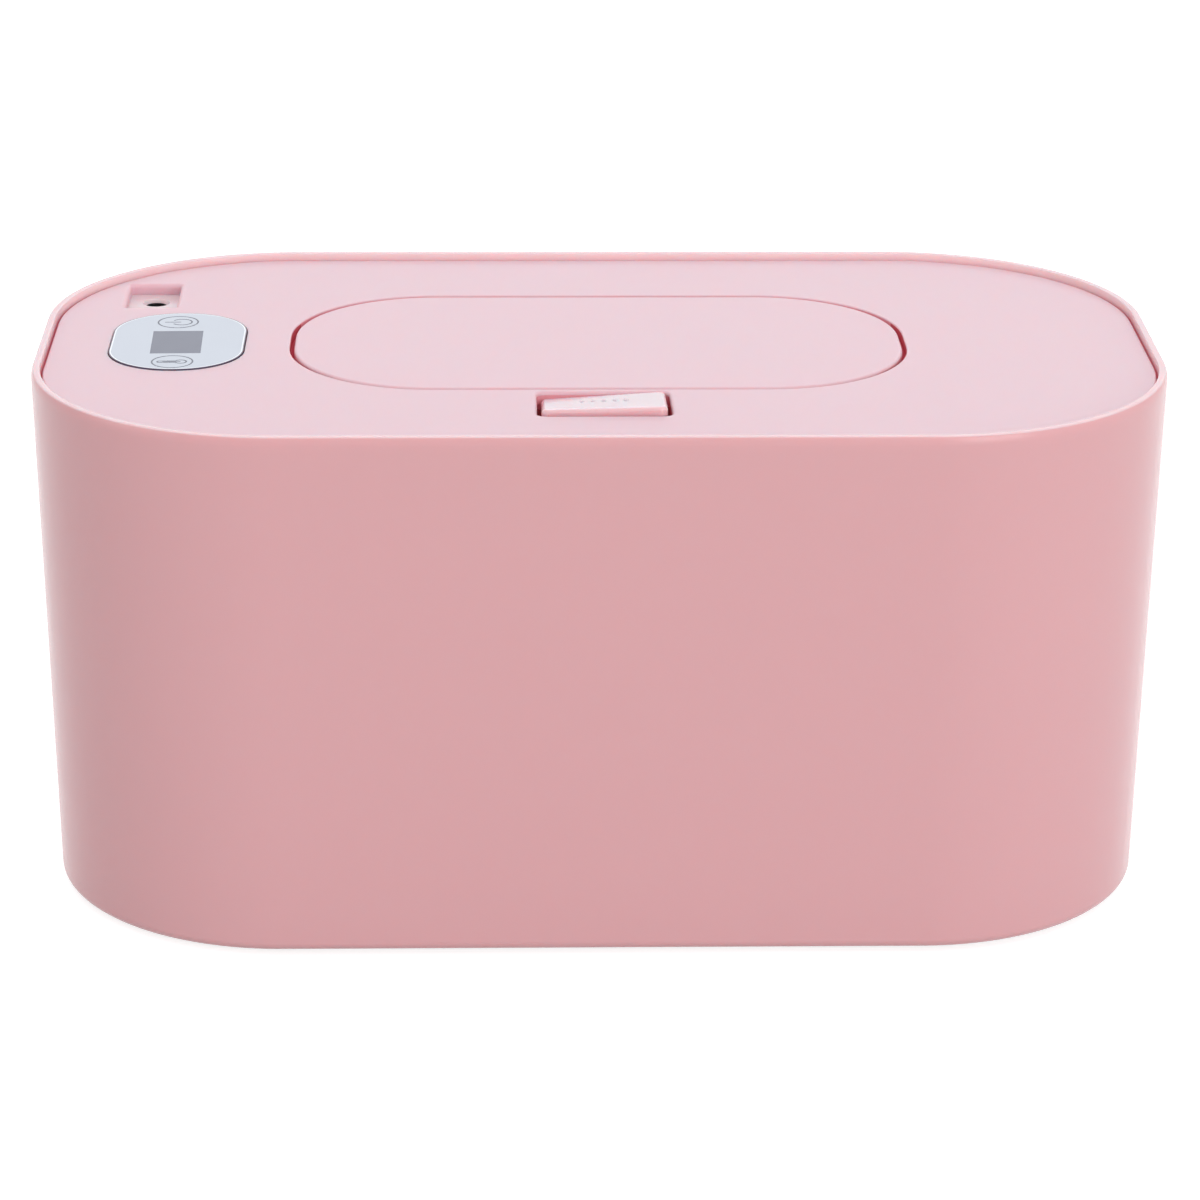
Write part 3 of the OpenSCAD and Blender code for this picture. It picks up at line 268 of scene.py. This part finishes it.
# Meshes
def new_object(name, bm, look, body, smooth_angle=35.0, weighted=True):
    """Links a finished bmesh as a piece that rides on a body, with smooth shading below an angle."""
    limit = math.radians(smooth_angle)
    bm.normal_update()
    for f in bm.faces:
        f.smooth = True
    for e in bm.edges:
        if len(e.link_faces) == 2 and e.calc_face_angle(0.0) > limit:
            e.smooth = False
    mesh = bpy.data.meshes.new(name)
    bm.to_mesh(mesh)
    bm.free()
    obj = bpy.data.objects.new(name, mesh)
    bpy.context.scene.collection.objects.link(obj)
    for m in look if isinstance(look, (list, tuple)) else [look]:
        mesh.materials.append(m)
    if weighted:
        mod = obj.modifiers.new("normals", "WEIGHTED_NORMAL")
        mod.keep_sharp = True
        mod.weight = 80
    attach(obj, body)
    return obj


def arc(x, y, r, start, end, steps=8):
    return [(x + r * math.cos(math.radians(start + (end - start) * i / steps)),
             y + r * math.sin(math.radians(start + (end - start) * i / steps))) for i in range(steps + 1)]


def loop(half_x, half_y, d, corner=32, along_x=12, along_y=4):
    """Points of a rounded rectangle: corner middles at half_x, half_y, and a corner radius of d."""
    points = []
    for q, (sx, sy) in enumerate(((1, 1), (-1, 1), (-1, -1), (1, -1))):
        cx, cy = sx * half_x, sy * half_y
        for i in range(corner + 1):
            a = math.radians(90 * q + 90 * i / corner)
            points.append((cx + d * math.cos(a), cy + d * math.sin(a)))
        nx, ny = ((-half_x, half_y), (-half_x, -half_y), (half_x, -half_y), (half_x, half_y))[q]
        count = along_x if q % 2 == 0 else along_y
        a = math.radians(90 * (q + 1))
        x0, y0 = points[-1]
        x1, y1 = nx + d * math.cos(a), ny + d * math.sin(a)
        for i in range(1, count):
            points.append((x0 + (x1 - x0) * i / count, y0 + (y1 - y0) * i / count))
    return points


def swept(bm, profile, half_x, half_y, at=(0.0, 0.0), material_of=None, close=False, **detail):
    """Sweeps (distance, height) points round a rounded rectangle. Returns the rings of vertices."""
    rings = []
    for d, z in profile:
        rings.append([bm.verts.new(((x + at[0]) * MM, (y + at[1]) * MM, z * MM))
                      for x, y in loop(half_x, half_y, d, **detail)])
    n = len(rings[0])
    pairs = list(zip(rings, rings[1:])) + ([(rings[-1], rings[0])] if close else [])
    for k, (low, high) in enumerate(pairs):
        for i in range(n):
            f = bm.faces.new((low[i], low[(i + 1) % n], high[(i + 1) % n], high[i]))
            if material_of:
                f.material_index = material_of(k)
    return rings


def case_r(z):
    return CORNER_R - LEAN * (RIM_Z - z)


def boolean(target, other, operation):
    mod = target.modifiers.new(operation, "BOOLEAN")
    mod.operation = operation
    mod.solver = "EXACT"
    mod.object = other


def baked(obj):
    """The mesh with its modifiers applied, as a bmesh."""
    dg = bpy.context.evaluated_depsgraph_get()
    bm = bmesh.new()
    bm.from_mesh(obj.evaluated_get(dg).to_mesh())
    obj.evaluated_get(dg).to_mesh_clear()
    return bm


def within(x_range, y_range, z_range):
    """Chooses the edges that lie in a box, in millimetres."""
    ranges = list(enumerate((x_range, y_range, z_range)))
    return lambda e: all(low <= v.co[i] / MM <= high for v in e.verts for i, (low, high) in ranges)


def polished(node, name, look, body, rounds):
    """A copy of a CAD node with clean flat faces and rounded edges, which stands for the node.

    Each of rounds is (radius in millimetres, segments, which edges)."""
    bm = bmesh.new()
    bm.from_mesh(NODES[node].data)
    bmesh.ops.remove_doubles(bm, verts=bm.verts, dist=0.000002)
    bmesh.ops.dissolve_limit(bm, angle_limit=math.radians(0.4), verts=bm.verts, edges=bm.edges)
    for radius, segments, chosen in rounds:
        bm.normal_update()
        sharp = [e for e in bm.edges
                 if len(e.link_faces) == 2 and e.calc_face_angle(0.0) > SHARP and chosen(e)]
        bmesh.ops.bevel(bm, geom=sharp, offset=radius * MM, segments=segments, profile=0.5, affect="EDGES")
    obj = new_object(name, bm, look, body)
    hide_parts(node)
    return obj


def foot_turnings(profile_rz, steps=48):
    """Four turned forms, one over each foot, from (radius, height) points in millimetres."""
    bm = bmesh.new()
    for sx, sy in ((-1, -1), (-1, 1), (1, -1), (1, 1)):
        rings = []
        for r, z in profile_rz:
            turns = [a * math.tau / steps for a in range(steps)]
            rings.append([bm.verts.new(((sx * FOOT_X + r * math.cos(a)) * MM,
                                        (sy * FOOT_Y + r * math.sin(a)) * MM, z * MM)) for a in turns])
        for low, high in zip(rings, rings[1:]):
            for i in range(steps):
                bm.faces.new((low[i], low[(i + 1) % steps], high[(i + 1) % steps], high[i]))
        bm.faces.new(list(reversed(rings[0])))
        bm.faces.new(rings[-1])
    mesh = bpy.data.meshes.new("tool")
    bm.to_mesh(mesh)
    bm.free()
    tool = bpy.data.objects.new("tool", mesh)
    bpy.context.scene.collection.objects.link(tool)
    return tool


# Outer case: its outside, rim, inside and floor in one closed shell, with bosses and pockets for the feet
def make_case():
    floor_r = case_r(CASE_Z)
    top = case_r(RIM_Z) - CASE_WALL
    inside_z = CASE_Z + CASE_FLOOR
    inside_r = case_r(inside_z) - CASE_WALL
    profile = arc(floor_r - BASE_ROUND, CASE_Z + BASE_ROUND, BASE_ROUND, -90, 0, 8)
    wall_low, wall_high = profile[-1], (case_r(RIM_Z - RIM_DROP), RIM_Z - RIM_DROP)
    profile += [(wall_low[0] + (wall_high[0] - wall_low[0]) * i / 12,
                 wall_low[1] + (wall_high[1] - wall_low[1]) * i / 12) for i in range(1, 12)]
    profile += [(wall_high[0] - RIM_ROUND_OUT * (1 - x), wall_high[1] + RIM_DROP * y)
                for x, y in arc(0, 0, 1, 0, 90, 10)]
    inside_from = len(profile) - 4
    profile += arc(top + RIM_ROUND_IN, RIM_Z - RIM_ROUND_IN, RIM_ROUND_IN, 90, 180, 3)
    wall_from = len(profile) - 1
    profile += [(top - LEAN * 1.6, RIM_Z - 1.6)]
    gap_from = len(profile) - 1
    profile += arc(inside_r - 1, inside_z + 1, 1, 0, -90, 5)
    bm = bmesh.new()
    rings = swept(bm, profile, CORNER_X, CORNER_Y, corner=40, along_x=14, along_y=4,
                  material_of=lambda k: sum(k >= start for start in (inside_from, wall_from, gap_from)))
    bm.faces.new(list(reversed(rings[0])))
    bm.faces.new(rings[-1]).material_index = 3
    # Bands of colour: painted highlight on the rim's top, painted light on its inner wall, and painted shade
    # with a painted glow down the gap and on the inside floor
    looks = [CASE_PINK, RIM_SHEEN, RIM_INNER_LIGHT, GAP_SHADE_GLOW]
    shell = new_object("case_shell", bm, looks, "case", weighted=False)
    tools = [foot_turnings([(4.6, 2.4), (4.6, 6.0)]),
             foot_turnings([(7.2, 0.0), (7.2, 2.0), (2.7, 2.0), (2.7, 4.2), (1.5, 4.2), (1.5, 7.0)])]
    for tool, operation in zip(tools, ("UNION", "DIFFERENCE")):
        boolean(shell, tool, operation)
    bpy.context.view_layer.update()
    bm = baked(shell)
    for tool in tools:
        bpy.data.objects.remove(tool)
    bpy.data.objects.remove(shell)
    shell = new_object("case_shell", bm, looks, "case")
    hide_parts("outer_case")


# Lid: rounded edges round each opening, with painted shade and a painted glow on the walls inside the
# openings, and painted light on the recess floor
def make_lid():
    top_face = (LID_Z - 0.02, LID_Z + 0.02)
    slot_edges = within((-CAP_HALF_X - 1, CAP_HALF_X + 1),
                        (CAP_Y - CAP_HALF_Y - 1, CAP_Y + CAP_HALF_Y + 0.6), top_face)
    recess_edges = within((RECESS_X - RECESS_HALF_X - 0.1, RECESS_X + RECESS_HALF_X + 0.1),
                          (RECESS_Y - RECESS_HALF_Y - 0.1, RECESS_Y + RECESS_HALF_Y + 0.1), top_face)
    lens_edges = within((LENS_LOW[0] - 0.3, LENS_HIGH[0] + 0.3),
                        (LENS_LOW[1] - 0.3, LENS_HIGH[1] + 0.3), top_face)
    other_edges = within((-CASE_HIGH[0], CASE_HIGH[0]), (-CASE_HIGH[1], CASE_HIGH[1]), top_face)
    rounds = [(0.7, 5, slot_edges), (0.8, 5, recess_edges), (0.08, 2, lens_edges), (0.3, 3, other_edges)]
    lid = polished("lid_top", "lid_shell", [LID_PINK, GAP_DEEP_SHADE_GLOW, GAP_SHADE_GLOW, RIM_INNER_LIGHT], "lid",
                   rounds)
    for p in lid.data.polygons:
        x, y, z = (c / MM for c in p.center)
        in_flap_opening = FLAP_LOW[0] - 1 < x < FLAP_HIGH[0] + 1 and FLAP_LOW[1] - 1 < y < FLAP_HIGH[1] + 1
        in_slot = abs(x) < CAP_HALF_X + 1 and abs(y - CAP_Y) < CAP_HALF_Y + 1
        upright = abs(p.normal.z) < 0.5
        # Painted shade with a painted glow: deeper on walls facing away from the front, paler on walls
        # facing it
        if LID_Z - 2.3 < z < LID_Z - 0.7 and (in_flap_opening or in_slot) and upright:
            p.material_index = 1 if p.normal.y > -0.35 else 2
        # Painted light: the recess floor gets the paler rim colour
        in_recess = abs(x - RECESS_X) < RECESS_HALF_X + 0.1 and abs(y - RECESS_Y) < RECESS_HALF_Y + 0.1
        if z < LID_Z - 1 and in_recess and p.normal.z > 0.5:
            p.material_index = 3


# Button: a paler top face as a painted sheen, which is slightly twisted, and painted deep red shade below
# the slot
def make_cap():
    edges = within((-CAP_HALF_X - 0.1, CAP_HALF_X + 0.1), (CAP_Y - 7, CAP_Y + 7), (LID_Z - 2, LID_Z + 3))
    cap = polished("release_button", "button_cap", [CAP_PINK, GAP_RED_SHADE, CAP_TOP_SHEEN], "button",
                   [(0.8, 5, edges)])
    for p in cap.data.polygons:
        p.material_index = 1 if p.center.z < (LID_Z - 2.2) * MM else 2 if p.normal.z > 0.9 else 0
    for v in cap.data.vertices:
        if v.co.z > (LID_Z - 2.5) * MM and abs(v.co.x) <= (CAP_HALF_X + 0.1) * MM:
            x, y = v.co.x / MM / CAP_HALF_X, (v.co.y / MM - CAP_Y) / CAP_HALF_Y
            v.co.z += (-0.05 + 0.08 * x + 0.22 * x * y) * MM
    return cap


make_case()
make_lid()
polished("flap", "flap_cover", LID_PINK, "flap", [])
button_cap = make_cap()


def printed(dx, dy):
    """Where a point of the print lies, given from the middle of the display. The print is turned."""
    return (DISPLAY_X + dx * math.cos(PRINT_TURN) - dy * math.sin(PRINT_TURN),
            DISPLAY_Y + dx * math.sin(PRINT_TURN) + dy * math.cos(PRINT_TURN))


# Panel lens: dark edge, light line, print and display window, with the printed signs on top
def make_lens():
    bm = bmesh.new()
    half_x, half_y = LENS_HIGH[0] - LENS_X - LENS_R, LENS_HIGH[1] - LENS_Y - LENS_R
    dark_line, light_line = 0.2, 0.45
    profile = [(LENS_R, LENS_LOW[2]), (LENS_R, LENS_TOP - 0.05), (LENS_R - 0.05, LENS_TOP),
               (LENS_R - dark_line, LENS_TOP), (LENS_R - light_line, LENS_TOP), (LENS_R - 0.8, LENS_TOP)]
    kinds = [1, 1, 1, 2, 0]
    rings = swept(bm, profile, half_x, half_y, at=(LENS_X, LENS_Y), corner=28, along_x=1, along_y=6,
                  material_of=lambda k: kinds[k])
    bottom = bm.faces.new(list(reversed(rings[0])))
    bottom.material_index = 1
    corners = [(sx * DISPLAY_HALF_X, sy * DISPLAY_HALF_Y)
               for sx, sy in ((-1, -1), (1, -1), (1, 1), (-1, 1))]
    window = [bm.verts.new((x * MM, y * MM, LENS_TOP * MM)) for x, y in (printed(*c) for c in corners)]
    pane = bm.faces.new(window)
    pane.material_index = 3
    inner = rings[-1]
    edges = [bm.edges.get((inner[i], inner[(i + 1) % len(inner)])) for i in range(len(inner))]
    edges += list(pane.edges)
    bmesh.ops.triangle_fill(bm, edges=edges, use_beauty=True, use_dissolve=False)
    bmesh.ops.recalc_face_normals(bm, faces=bm.faces)
    obj = new_object("panel_cover", bm, [PRINT, PRINT_EDGE, PRINT_LIGHT, DISPLAY], "lid",
                     weighted=False)
    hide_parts("panel_lens")


def line_strip(bm, points, width, low, high, closed=False):
    """A flat raised line of a given width along points in the plane, all in millimetres."""
    n = len(points)
    left, right = [], []
    for i, (x, y) in enumerate(points):
        if closed:
            a, b = points[i - 1], points[(i + 1) % n]
        else:
            a, b = points[max(i - 1, 0)], points[min(i + 1, n - 1)]
        tx, ty = b[0] - a[0], b[1] - a[1]
        size = math.hypot(tx, ty)
        nx, ny = -ty / size * width / 2, tx / size * width / 2
        left.append((x + nx, y + ny))
        right.append((x - nx, y - ny))

    def verts(points, z):
        return [bm.verts.new((x * MM, y * MM, z * MM)) for x, y in (printed(*p) for p in points)]

    rows = [verts(left, low), verts(left, high), verts(right, high), verts(right, low)]
    last = n if closed else n - 1
    for i in range(last):
        j = (i + 1) % n
        for a, b in zip(rows, rows[1:] + rows[:1]):
            bm.faces.new((a[i], b[i], b[j], a[j]))
    if not closed:
        bm.faces.new([r[0] for r in rows])
        bm.faces.new([r[-1] for r in reversed(rows)])


def make_signs():
    bm = bmesh.new()
    low, high = LENS_TOP - 0.02, LENS_TOP + 0.015
    x = -0.3
    power_y = DISPLAY_HALF_Y + 5.65
    mode_y = -DISPLAY_HALF_Y - 5.05
    line, ring_r = 0.3, 3.6
    for y in (power_y, mode_y):
        line_strip(bm, arc(x, y, ring_r, 0, 360, 64)[:-1], line, low, high, closed=True)
    # Power sign, lying on its side: an open ring with a bar through its gap
    line_strip(bm, arc(x + 0.7, power_y, 1.8, -145, 145, 36), line, low, high)
    line_strip(bm, [(x - 2.4, power_y), (x + 0.5, power_y)], line, low, high)
    # Thermometer sign, lying on its side: a stem with a bulb
    stem, bulb_x, bulb_r = 0.45, x + 1.5, 1.0
    meet = math.degrees(math.asin(stem / bulb_r))
    outline = arc(x - 2.2, mode_y, stem, 90, 270, 6)
    outline += arc(bulb_x, mode_y, bulb_r, meet - 180, 180 - meet, 24)
    line_strip(bm, outline, line, low, high, closed=True)
    line_strip(bm, [(x - 1.7, mode_y), (bulb_x, mode_y)], line, low, high)
    bmesh.ops.recalc_face_normals(bm, faces=bm.faces)
    new_object("panel_signs", bm, INK, "lid", weighted=False)


make_lens()
make_signs()


# Black lining of the inlet's hole
def make_inlet_lining():
    bm = bmesh.new()
    top = LID_Z - RECESS_DEPTH - INLET_CHAMFER
    bottom = LID_Z - RECESS_DEPTH - INLET_LENGTH
    outer, inner = INLET_R - 0.01, INLET_R - 0.12
    swept(bm, [(outer, bottom), (outer, top), (inner, top), (inner, bottom)], 0, 0, at=(INLET_X, INLET_Y),
          corner=12, along_x=1, along_y=1, close=True)
    bmesh.ops.remove_doubles(bm, verts=bm.verts, dist=0.000001)
    bmesh.ops.recalc_face_normals(bm, faces=bm.faces)
    new_object("inlet_lining", bm, JACK_BLACK, "lid", weighted=False)


make_inlet_lining()


# Small raised marks in the middle of the button, on its sloping face
def make_button_marks():
    bm = bmesh.new()
    cap = button_cap.data
    tree = BVHTree.FromPolygons([v.co for v in cap.vertices], [p.vertices for p in cap.polygons])

    def height(x, y):
        return tree.ray_cast(Vector((x * MM, y * MM, 2 * RIM_Z * MM)), Vector((0, 0, -1)))[0].z / MM

    pitch, half_x, half_y, proud = 1.9, 0.35, 0.8, 0.04
    for k in range(-2, 3):
        rings = []
        for share, rise in ((1.0, -0.1), (1.0, proud * 0.6), (0.8, proud)):
            rings.append([])
            for dx, dy in arc(0, 0, 1, 0, 360, 12)[:-1]:
                x, y = k * pitch + dx * half_x * share, CAP_Y + dy * half_y * share
                rings[-1].append(bm.verts.new((x * MM, y * MM, (height(x, y) + rise) * MM)))
        for a, b in zip(rings, rings[1:]):
            for i in range(len(a)):
                j = (i + 1) % len(a)
                bm.faces.new((a[i], a[j], b[j], b[i]))
        bm.faces.new(rings[-1])
        bm.faces.new(list(reversed(rings[0])))
    bmesh.ops.recalc_face_normals(bm, faces=bm.faces)
    new_object("button_marks", bm, CAP_MARK, "button")


make_button_marks()


# Coils of the springs, each a copy with its own mesh
def make_coil(node, name):
    bm = bmesh.new()
    bm.from_mesh(NODES[node].data)
    bmesh.ops.remove_doubles(bm, verts=bm.verts, dist=0.000001)
    coil = new_object(name, bm, WIRE_STEEL, "lid", smooth_angle=50.0, weighted=False)
    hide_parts(node)
    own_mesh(coil)


make_coil("button_springs", "button_coils")
make_coil("latch_spring", "latch_coil")


# Floor, camera and light
def seen_ray(t):
    """An output that is 1 for a ray from the camera, a reflection or a clear material, and else 0."""
    path = t.nodes.new("ShaderNodeLightPath")
    value = path.outputs["Is Camera Ray"]
    for kind in ("Is Glossy Ray", "Is Transmission Ray"):
        most = t.nodes.new("ShaderNodeMath")
        most.operation = "MAXIMUM"
        t.links.new(value, most.inputs[0])
        t.links.new(path.outputs[kind], most.inputs[1])
        value = most.outputs[0]
    return value


def make_floor(albedo=0.55, seen_glow=0.78):
    m = bpy.data.materials.new("floor_white")
    m.use_nodes = True
    t = m.node_tree
    t.nodes.clear()
    out = t.nodes.new("ShaderNodeOutputMaterial")
    diffuse = t.nodes.new("ShaderNodeBsdfDiffuse")
    diffuse.inputs[0].default_value = (albedo, albedo, albedo, 1)
    glow = t.nodes.new("ShaderNodeEmission")
    glow.inputs[0].default_value = (1, 1, 1, 1)
    add = t.nodes.new("ShaderNodeAddShader")
    scale = t.nodes.new("ShaderNodeMath")
    scale.operation = "MULTIPLY"
    scale.inputs[1].default_value = seen_glow
    t.links.new(seen_ray(t), scale.inputs[0])
    t.links.new(scale.outputs[0], glow.inputs[1])
    t.links.new(diffuse.outputs[0], add.inputs[0])
    t.links.new(glow.outputs[0], add.inputs[1])
    t.links.new(add.outputs[0], out.inputs[0])
    bm = bmesh.new()
    bmesh.ops.create_circle(bm, cap_ends=True, radius=6.0, segments=96)
    mesh = bpy.data.meshes.new("floor")
    bm.to_mesh(mesh)
    bm.free()
    mesh.materials.append(m)
    floor = bpy.data.objects.new("floor", mesh)
    bpy.context.scene.collection.objects.link(floor)


def make_world(light=0.6, seen_light=1.0):
    world = bpy.data.worlds.new("studio")
    bpy.context.scene.world = world
    world.use_nodes = True
    t = world.node_tree
    t.nodes.clear()
    out = t.nodes.new("ShaderNodeOutputWorld")
    background = t.nodes.new("ShaderNodeBackground")
    background.inputs[0].default_value = (1, 1, 1, 1)
    strength = t.nodes.new("ShaderNodeMapRange")
    strength.inputs["To Min"].default_value = light
    strength.inputs["To Max"].default_value = seen_light
    t.links.new(seen_ray(t), strength.inputs["Value"])
    t.links.new(strength.outputs[0], background.inputs[1])
    t.links.new(background.outputs[0], out.inputs[0])


def area_light(name, place, target, size, power, color=(1, 1, 1), size_y=None):
    data = bpy.data.lights.new(name, "AREA")
    data.shape = "RECTANGLE" if size_y else "SQUARE"
    data.size = size
    if size_y:
        data.size_y = size_y
    data.energy = power
    data.color = color
    obj = bpy.data.objects.new(name, data)
    bpy.context.scene.collection.objects.link(obj)
    obj.location = place
    obj.rotation_mode = "QUATERNION"
    obj.rotation_quaternion = (Vector(target) - Vector(place)).to_track_quat("-Z", "Y")
    return obj


def make_lights():
    area_light("top_softbox", (0.1, 0.1, 1.3), (0, 0, 0.09), 1.4, 3.0, size_y=1.0)
    area_light("front_fill", (0.75, -1.3, 0.45), (0, 0, 0.03), 0.8, 9.4)
    area_light("left_fill", (-1.3, -0.4, 0.5), (0, 0, 0.03), 0.8, 2.0)
    area_light("back_softbox", (0.0, 1.3, 1.0), (0, 0, 0.09), 2.0, 5.0, color=(0.88, 1.0, 1.1), size_y=1.2)
    # Lights the back alone, and shows in no reflection
    back_fill = area_light("back_fill", (-0.2, 1.6, 0.12), (0, 0, 0.05), 0.2, 3.5)
    back_fill.visible_glossy = False


# Camera fitted to the photograph: angles in radians, distance and target in millimetres
def make_camera():
    elevation, yaw, roll = 0.3531, 0.0291, 0.0072
    distance, focal_px, frame_px = 769.32, 4189.86, 1200.0
    target = Vector((0.606, 0.0, 45.781))
    forward = Vector((0, math.cos(elevation), -math.sin(elevation)))
    up = Vector((0, math.sin(elevation), math.cos(elevation)))
    right = Vector((1, 0, 0))
    axis_x = math.cos(roll) * right + math.sin(roll) * up
    axis_y = -math.sin(roll) * right + math.cos(roll) * up
    turn = Matrix.Rotation(-yaw, 3, "Z")
    rotation = Matrix((turn @ axis_x, turn @ axis_y, turn @ -forward)).transposed()
    data = bpy.data.cameras.new("camera")
    data.sensor_width = 36.0
    data.lens = data.sensor_width * focal_px / frame_px
    data.clip_start, data.clip_end = 0.01, 50.0
    camera = bpy.data.objects.new("camera", data)
    bpy.context.scene.collection.objects.link(camera)
    camera.matrix_world = Matrix.Translation((turn @ (target - distance * forward)) * MM) @ rotation.to_4x4()
    bpy.context.scene.camera = camera


make_floor()
make_world()
make_lights()
make_camera()
bpy.context.scene.view_settings.view_transform = "Standard"
